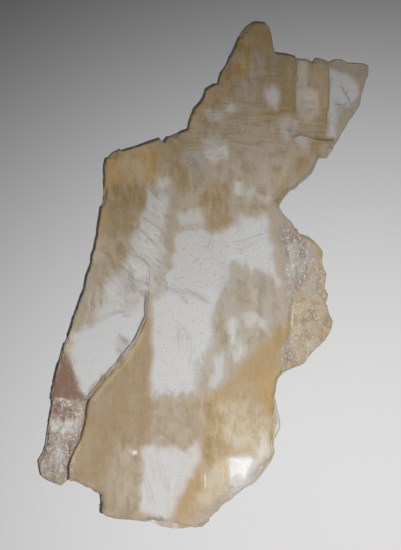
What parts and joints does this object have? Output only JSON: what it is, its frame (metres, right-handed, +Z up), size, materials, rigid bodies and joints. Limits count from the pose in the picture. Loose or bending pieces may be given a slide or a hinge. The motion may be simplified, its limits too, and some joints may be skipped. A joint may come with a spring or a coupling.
{
  "type": "selenite cleavage plate",
  "caption": "Flat broken plate of clear selenite with stepped cleavage ledges, a pointed far end, a thin side shelf and a rough near corner.",
  "frame": {"origin": "centre of the plate's bounding box, on its flat underside", "axes": "+Y along the plate's length towards its pointed far end, +X to the right seen from above, towards the thin side shelf, +Z up through the thickness"},
  "size_m": [0.0978, 0.1494, 0.0062],
  "materials": {
    "selenite": "clear with straw and honey haze, vitreous cleavage faces, rough broken rims"
  },
  "bodies": {
    "root": {"selenite_plate": "selenite"}
  },
  "joints": []
}
